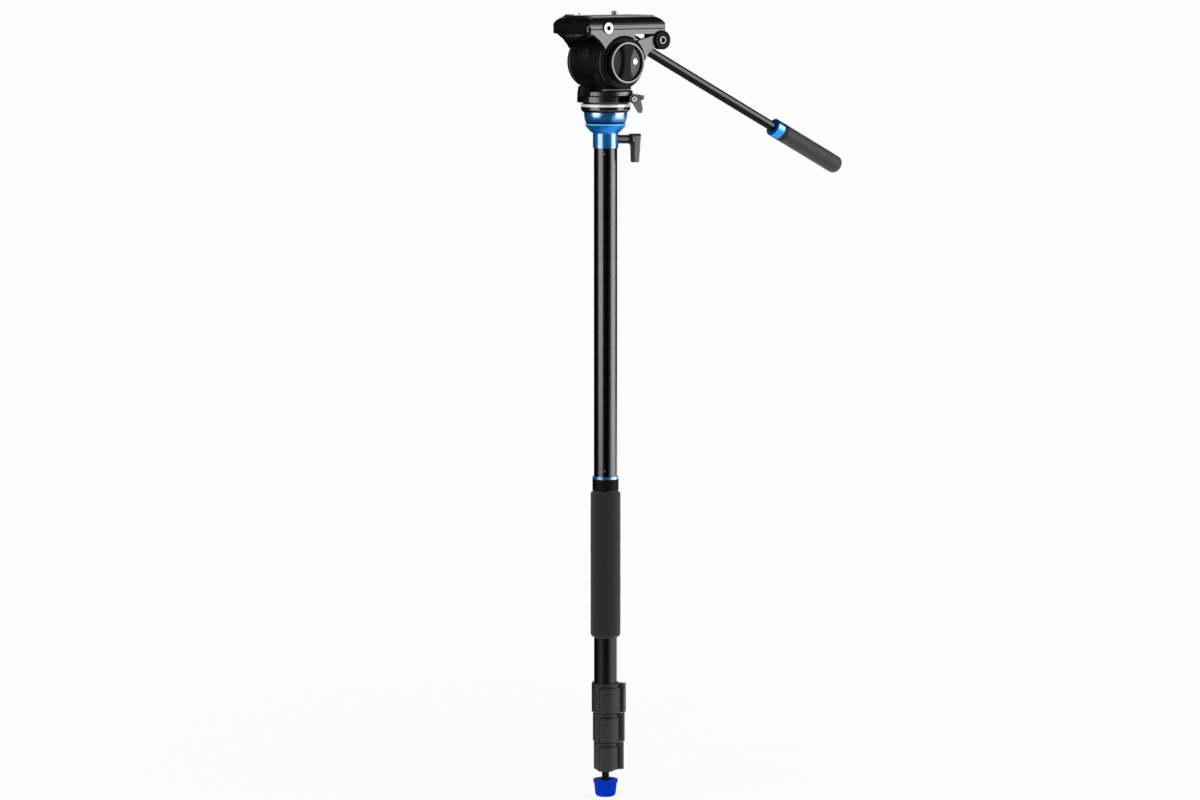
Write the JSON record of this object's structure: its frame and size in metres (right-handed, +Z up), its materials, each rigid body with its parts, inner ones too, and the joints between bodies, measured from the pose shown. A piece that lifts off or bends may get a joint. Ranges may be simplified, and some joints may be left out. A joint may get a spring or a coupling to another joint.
{
  "type": "video monopod",
  "caption": "Telescopic video monopod: foam-gripped leg with flip locks, centre column, levelling half ball and a fluid pan-and-tilt head with sliding camera plate and pan bar.",
  "frame": {"origin": "middle of the rubber foot's underside", "axes": "+Z up the pole; the head looks along -X, the pan bar points to +X, the tilt axle lies along Y with its knob at -Y"},
  "size_m": [0.4153, 0.1036, 0.8571],
  "materials": {
    "blue_anodised": "bright blue anodised, polished",
    "black_tube": "satin black anodised tube",
    "gloss_black": "glossy black ring",
    "charcoal_plastic": "glass-filled charcoal nylon, fine grain",
    "black_casting": "black powder-coated casting, fine texture",
    "black_plastic": "moulded black plastic",
    "silver": "turned, bare satin aluminium",
    "chrome": "chromed steel",
    "steel": "zinc-plated steel",
    "black_steel": "blackened steel",
    "blue_rubber": "blue moulded rubber",
    "foam": "closed-cell foam, matt",
    "vial_glass": "spirit level vial",
    "nylon": "natural nylon, hidden",
    "steel_insert": "machined, hidden"
  },
  "bodies": {
    "pole": {"leveling_cup": "blue_anodised", "draw_rod": "steel", "clamp_dome": "nylon", "column_tube": "black_tube", "column_set_screws": "steel", "column_insert": "steel_insert", "accent_ring": "blue_anodised", "leg_top_collar": "gloss_black", "leg_tube_1": "black_tube", "foam_grip": "foam", "lock_body_1": "charcoal_plastic", "lock_pin_1": "steel"},
    "lever_1": {"lock_lever_1": "charcoal_plastic"},
    "leg_2": {"leg_tube_2": "black_tube", "leg_guide_2": "nylon", "lock_body_2": "charcoal_plastic", "lock_pin_2": "steel"},
    "lever_2": {"lock_lever_2": "charcoal_plastic"},
    "leg_3": {"leg_tube_3": "black_tube", "leg_guide_3": "nylon", "lock_body_3": "charcoal_plastic", "lock_pin_3": "steel"},
    "lever_3": {"lock_lever_3": "charcoal_plastic"},
    "leg_4": {"leg_tube_4": "black_tube", "leg_guide_4": "nylon", "foot_plug": "black_plastic", "foot_stud": "black_steel"},
    "foot_slider": {"foot_washer": "black_steel"},
    "foot": {"rubber_foot": "blue_rubber"},
    "ball_lever": {"ball_lever_shaft": "black_steel", "ball_lever_handle": "black_plastic"},
    "ball_seat": {"ball_liner": "nylon"},
    "ball": {"half_ball": "blue_anodised", "mount_flange": "black_casting", "base_ring": "silver", "pan_spindle": "black_steel", "head_screw": "steel"},
    "pan": {"pan_housing": "black_casting", "drum_front_cap": "black_plastic", "level_vial": "vial_glass", "tilt_bushings": "nylon", "counterbalance_spring": "steel"},
    "pan_lock": {"pan_lock_lever": "black_plastic", "pan_lock_screw": "chrome"},
    "tilt": {"tilt_cradle": "black_casting", "plate_housing": "black_casting", "tilt_axle": "steel", "rosette_bushes": "chrome"},
    "tilt_knob": {"tilt_knob": "black_plastic", "tilt_knob_trim": "silver"},
    "plate": {"camera_plate": "black_casting"},
    "camera_screw": {"camera_screw": "steel"},
    "video_pin": {"video_pin": "chrome"},
    "release_button": {"release_button": "silver"},
    "plate_lock": {"plate_lock_knob": "black_plastic"},
    "handle": {"handle_clamp": "black_casting", "handle_bar": "black_tube", "handle_ring": "blue_anodised", "handle_grip": "foam"},
    "handle_knob": {"handle_knob": "black_plastic"}
  },
  "joints": [
    {"name": "leg_2_slide", "type": "slide", "parent": "pole", "child": "leg_2", "axis": [0, 0, -1], "range_m": [0, 0.205]},
    {"name": "leg_3_slide", "type": "slide", "parent": "leg_2", "child": "leg_3", "axis": [0, 0, -1], "range_m": [0, 0.22]},
    {"name": "leg_4_slide", "type": "slide", "parent": "leg_3", "child": "leg_4", "axis": [0, 0, -1], "range_m": [0, 0.22]},
    {"name": "lever_1_flip", "type": "hinge", "parent": "pole", "child": "lever_1", "pos_m": [0.01501, -0.01131, 0.1096], "axis": [0, 0, 1], "range_deg": [0, 140]},
    {"name": "lever_2_flip", "type": "hinge", "parent": "leg_2", "child": "lever_2", "pos_m": [0.01398, -0.01053, 0.0771], "axis": [0, 0, 1], "range_deg": [0, 140]},
    {"name": "lever_3_flip", "type": "hinge", "parent": "leg_3", "child": "lever_3", "pos_m": [0.01318, -0.00993, 0.0461], "axis": [0, 0, 1], "range_deg": [0, 140]},
    {"name": "foot_travel", "type": "slide", "parent": "leg_4", "child": "foot_slider", "axis": [0, 0, 1], "range_m": [0, 0.0075]},
    {"name": "foot_turn", "type": "hinge", "parent": "foot_slider", "child": "foot", "pos_m": [0, 0, 0.009], "axis": [0, 0, 1], "range_deg": [0, 2165]},
    {"name": "ball_lever_turn", "type": "hinge", "parent": "pole", "child": "ball_lever", "pos_m": [0.01597, -0.01204, 0.7196], "axis": [0.7986, -0.6018, 0], "range_deg": [-60, 120]},
    {"name": "level_fore_aft", "type": "hinge", "parent": "pole", "child": "ball_seat", "pos_m": [0, 0, 0.7474], "axis": [0, 1, 0], "range_deg": [-15, 15]},
    {"name": "level_sideways", "type": "hinge", "parent": "ball_seat", "child": "ball", "pos_m": [0, 0, 0.7474], "axis": [-1, 0, 0], "range_deg": [-15, 15]},
    {"name": "pan", "type": "hinge", "parent": "ball", "child": "pan", "pos_m": [0, 0, 0.7591], "axis": [0, 0, 1], "continuous": true},
    {"name": "pan_lock_turn", "type": "hinge", "parent": "pan", "child": "pan_lock", "pos_m": [0.01768, -0.02899, 0.7631], "axis": [-0.7071, -0.7071, 0], "range_deg": [-30, 45]},
    {"name": "tilt", "type": "hinge", "parent": "pan", "child": "tilt", "pos_m": [0, 0, 0.8028], "axis": [0, 1, 0], "range_deg": [-70, 70]},
    {"name": "tilt_knob_turn", "type": "hinge", "parent": "tilt", "child": "tilt_knob", "pos_m": [0, -0.036, 0.8028], "axis": [0, -1, 0], "range_deg": [0, 270]},
    {"name": "plate_slide", "type": "slide", "parent": "tilt", "child": "plate", "axis": [1, 0, 0], "range_m": [0, 0.04]},
    {"name": "camera_screw_turn", "type": "hinge", "parent": "plate", "child": "camera_screw", "pos_m": [0.0119, 0, 0.8508], "axis": [0, 0, 1], "continuous": true},
    {"name": "video_pin_press", "type": "slide", "parent": "plate", "child": "video_pin", "axis": [0, 0, -1], "range_m": [0, 0.0025], "stiffness_N_per_m": 400, "springref_m": -0.0005},
    {"name": "release_button_press", "type": "slide", "parent": "tilt", "child": "release_button", "axis": [0, 1, 0], "range_m": [0, 0.0025], "stiffness_N_per_m": 600, "springref_m": -0.001},
    {"name": "plate_lock_turn", "type": "hinge", "parent": "tilt", "child": "plate_lock", "pos_m": [-0.0218, 0.036, 0.8443], "axis": [0, 1, 0], "range_deg": [0, 180]},
    {"name": "handle_swing", "type": "hinge", "parent": "tilt", "child": "handle", "pos_m": [0.0504, 0.0442, 0.8259], "axis": [0, 1, 0], "range_deg": [-90, 90]},
    {"name": "handle_knob_turn", "type": "hinge", "parent": "handle", "child": "handle_knob", "pos_m": [0.0504, 0.058, 0.8259], "axis": [0, 1, 0], "range_deg": [0, 270]}
  ],
  "couplings": [
    {"joint": "foot_turn", "follows": "foot_travel", "rad_per_m": 5026.5}
  ]
}
